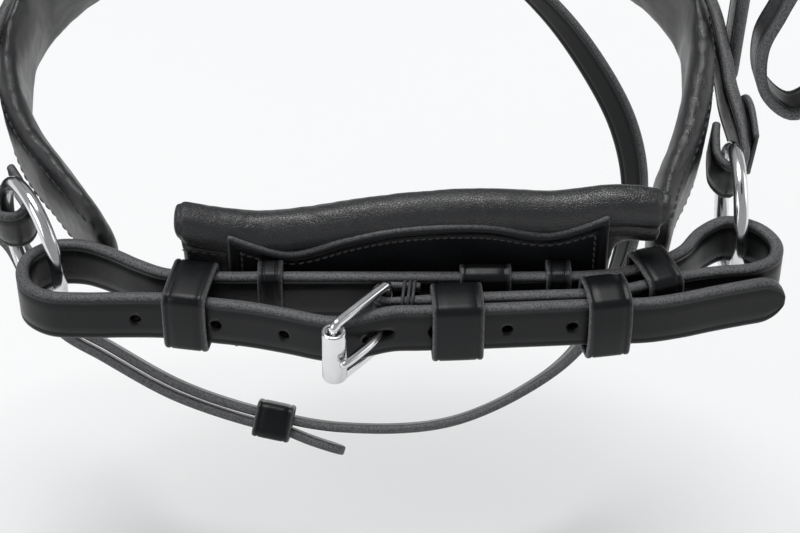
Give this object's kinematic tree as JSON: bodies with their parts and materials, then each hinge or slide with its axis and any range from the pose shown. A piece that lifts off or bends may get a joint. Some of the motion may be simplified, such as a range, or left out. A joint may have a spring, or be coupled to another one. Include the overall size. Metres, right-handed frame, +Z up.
{
  "type": "headcollar",
  "caption": "Black leather headcollar with a padded crank noseband, roller-buckled chin strap and pad, flash strap, throat strap and bit straps, hung from its padded crown.",
  "frame": {"origin": "underside of the padded crown strap at its middle, where a hook or the horse's poll carries it", "axes": "+Z up, +Y towards the front of the nose, +X to the right seen from the chin side"},
  "size_m": [0.2879, 0.2479, 0.5928],
  "materials": {
    "bridle_leather": "waxed semi-gloss black bridle leather",
    "padded_leather": "soft matt black lining leather over foam",
    "stainless": "polished stainless steel"
  },
  "bodies": {
    "crown": {"crown_strap": "bridle_leather", "crown_pad": "padded_leather", "crown_left_buckle_frame": "stainless", "crown_right_buckle_frame": "stainless", "crown_billet_left": "bridle_leather", "crown_billet_right": "bridle_leather", "crown_keeper_left_lower": "bridle_leather", "crown_keeper_left_upper": "bridle_leather", "crown_keeper_right_lower": "bridle_leather", "crown_keeper_right_upper": "bridle_leather"},
    "upper_ring_left": {"upper_ring_left": "stainless"},
    "upper_ring_right": {"upper_ring_right": "stainless"},
    "crown_left_tongue": {"crown_left_buckle_tongue": "stainless"},
    "crown_right_tongue": {"crown_right_buckle_tongue": "stainless"},
    "noseband": {"cheek_strap_left": "bridle_leather", "cheek_strap_right": "bridle_leather", "nasal_lining": "padded_leather", "nasal_strap": "bridle_leather", "nasal_overlay_left": "bridle_leather", "nasal_overlay_right": "bridle_leather", "flash_loop": "bridle_leather", "bit_chape_left": "bridle_leather", "bit_chape_right": "bridle_leather"},
    "ring_left": {"ring_left": "stainless"},
    "ring_right": {"ring_right": "stainless"},
    "chin": {"chin_strap": "bridle_leather", "chin_buckle_frame": "stainless", "keeper_left_loop": "bridle_leather", "keeper_buckle": "bridle_leather", "keeper_right_loop": "bridle_leather"},
    "chin_pad": {"chin_pad": "padded_leather", "chin_overlay": "bridle_leather"},
    "keeper_main": {"keeper_main": "bridle_leather"},
    "keeper_sliding": {"keeper_sliding": "bridle_leather"},
    "chin_roller": {"chin_buckle_roller": "stainless"},
    "chin_tongue": {"chin_buckle_tongue": "stainless"},
    "flash": {"flash_strap": "bridle_leather", "flash_keeper": "bridle_leather", "flash_buckle_frame": "stainless"},
    "flash_tongue": {"flash_buckle_tongue": "stainless"},
    "bit_dee_left": {"bit_dee_left": "stainless"},
    "bit_dee_right": {"bit_dee_right": "stainless"},
    "bit_strap_left": {"bit_strap_left": "bridle_leather", "bit_keeper_left": "bridle_leather"},
    "bit_strap_right": {"bit_strap_right": "bridle_leather", "bit_keeper_right": "bridle_leather"},
    "throat": {"throat_long_strap": "bridle_leather", "throat_short_strap": "bridle_leather", "throat_buckle_frame": "stainless", "throat_keeper": "bridle_leather"},
    "throat_tongue": {"throat_buckle_tongue": "stainless"}
  },
  "joints": [
    {"name": "upper_ring_left_turn", "type": "hinge", "parent": "crown", "child": "upper_ring_left", "pos_m": [-0.1208, 0, -0.165], "axis": [1, 0, 0], "continuous": true},
    {"name": "upper_ring_right_turn", "type": "hinge", "parent": "crown", "child": "upper_ring_right", "pos_m": [0.117, 0, -0.165], "axis": [1, 0, 0], "continuous": true},
    {"name": "crown_left_tongue_lift", "type": "hinge", "parent": "crown", "child": "crown_left_tongue", "pos_m": [-0.1193, 0, -0.103], "axis": [0, 1, 0], "range_deg": [0, 3]},
    {"name": "crown_right_tongue_lift", "type": "hinge", "parent": "crown", "child": "crown_right_tongue", "pos_m": [0.1155, 0, -0.103], "axis": [0, -1, 0], "range_deg": [0, 3]},
    {"name": "noseband_swing", "type": "hinge", "parent": "crown", "child": "noseband", "pos_m": [0.012, 0, -0.165], "axis": [1, 0, 0], "range_deg": [-4, 10]},
    {"name": "ring_left_turn", "type": "hinge", "parent": "noseband", "child": "ring_left", "pos_m": [-0.099, -0.025, -0.455], "axis": [0.8616, 0.5075, 0], "continuous": true},
    {"name": "ring_right_turn", "type": "hinge", "parent": "noseband", "child": "ring_right", "pos_m": [0.114, -0.009, -0.455], "axis": [1, 0, 0], "continuous": true},
    {"name": "chin_swing", "type": "hinge", "parent": "noseband", "child": "chin", "pos_m": [-0.099, -0.025, -0.455], "axis": [0.9972, 0.0749, 0], "range_deg": [-8, 8]},
    {"name": "chin_pad_slide", "type": "slide", "parent": "chin", "child": "chin_pad", "axis": [1, 0, 0], "range_m": [-0.0015, 0.0015]},
    {"name": "keeper_main_slide", "type": "slide", "parent": "chin", "child": "keeper_main", "axis": [1, 0, 0], "range_m": [-0.004, 0.004]},
    {"name": "keeper_sliding_slide", "type": "slide", "parent": "chin", "child": "keeper_sliding", "axis": [0.9877, 0.1564, 0], "range_m": [-0.0015, 0.0015]},
    {"name": "chin_roller_turn", "type": "hinge", "parent": "chin", "child": "chin_roller", "pos_m": [-0.00677, -0.07352, -0.455], "axis": [0, 0, 1], "continuous": true},
    {"name": "chin_tongue_lift", "type": "hinge", "parent": "chin", "child": "chin_tongue", "pos_m": [0.0085, -0.055, -0.455], "axis": [0, 0, 1], "range_deg": [0, 4]},
    {"name": "flash_swing", "type": "hinge", "parent": "noseband", "child": "flash", "pos_m": [0.012, 0.1236, -0.4394], "axis": [1, 0, 0], "range_deg": [-8, 8]},
    {"name": "flash_tongue_lift", "type": "hinge", "parent": "flash", "child": "flash_tongue", "pos_m": [-0.134, 0.06961, -0.50375], "axis": [0, -0.766, 0.6428], "range_deg": [0, 3]},
    {"name": "bit_dee_left_swing", "type": "hinge", "parent": "noseband", "child": "bit_dee_left", "pos_m": [-0.1306, -0.00841, -0.22643], "axis": [0, 0.9907, -0.1357], "range_deg": [0, 40]},
    {"name": "bit_strap_left_swing", "type": "hinge", "parent": "bit_dee_left", "child": "bit_strap_left", "pos_m": [-0.1306, -0.01113, -0.24624], "axis": [0, 0.9907, -0.1357], "range_deg": [-3, 30]},
    {"name": "bit_dee_right_swing", "type": "hinge", "parent": "noseband", "child": "bit_dee_right", "pos_m": [0.1268, -0.00841, -0.22643], "axis": [0, -0.9907, 0.1357], "range_deg": [0, 40]},
    {"name": "bit_strap_right_swing", "type": "hinge", "parent": "bit_dee_right", "child": "bit_strap_right", "pos_m": [0.1268, -0.01113, -0.24624], "axis": [0, -0.9907, 0.1357], "range_deg": [-3, 30]},
    {"name": "throat_swing", "type": "hinge", "parent": "crown", "child": "throat", "pos_m": [0.012, 0, -0.165], "axis": [1, 0, 0], "range_deg": [-10, 4]},
    {"name": "throat_tongue_lift", "type": "hinge", "parent": "throat", "child": "throat_tongue", "pos_m": [-0.1206, -0.04371, -0.21709], "axis": [0, 0.766, -0.6428], "range_deg": [0, 2]}
  ]
}
